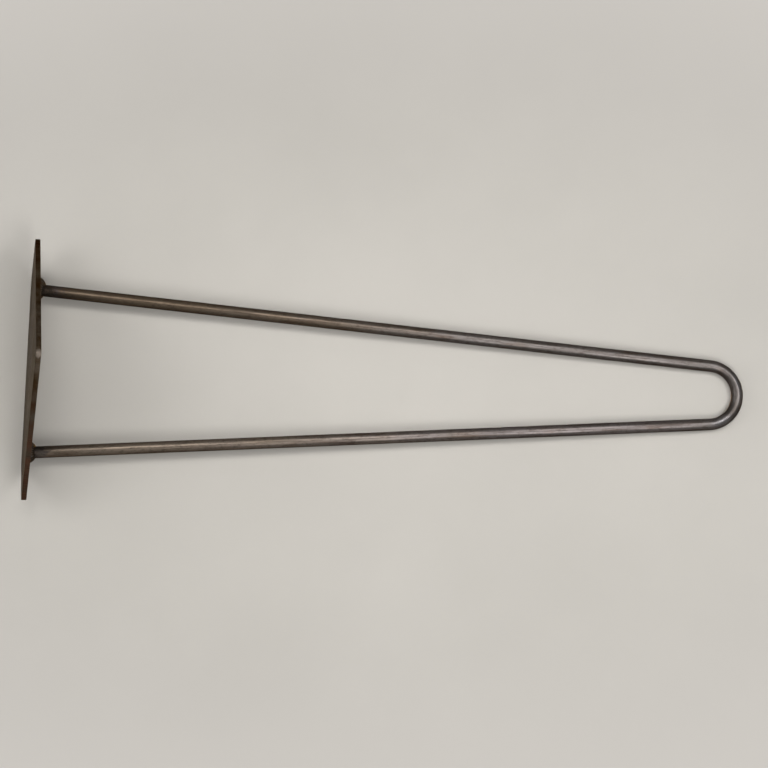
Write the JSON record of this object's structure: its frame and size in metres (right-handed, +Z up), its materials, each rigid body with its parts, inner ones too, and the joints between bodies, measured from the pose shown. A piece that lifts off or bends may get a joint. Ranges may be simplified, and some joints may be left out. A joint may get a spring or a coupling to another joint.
{
  "type": "hairpin table leg",
  "caption": "Raw steel hairpin table leg: a round rod bent into a narrow U, leaning outwards and welded to a flat clipped-corner plate that screws under a table top.",
  "frame": {"origin": "on the mounting face, on the plate's middle line, above the middle of the line between the rods' upper ends", "axes": "+Z up out of the mounting face, so the leg hangs below it as it is used; X along the line between the rods' upper ends; -Y towards the plate's apex, the way the leg leans"},
  "size_m": [0.263, 0.1788, 0.711],
  "materials": {
    "plate_steel": "dark brown mill scale, dull, with bare worn corners",
    "rod_steel": "grey-brown mill scale, satin, streaked along the rod",
    "weld_metal": "dark oxidised weld, rippled"
  },
  "bodies": {
    "root": {"mounting_plate": "plate_steel", "hairpin_rod": "rod_steel", "weld_bead_left": "weld_metal", "weld_bead_right": "weld_metal"}
  },
  "joints": []
}
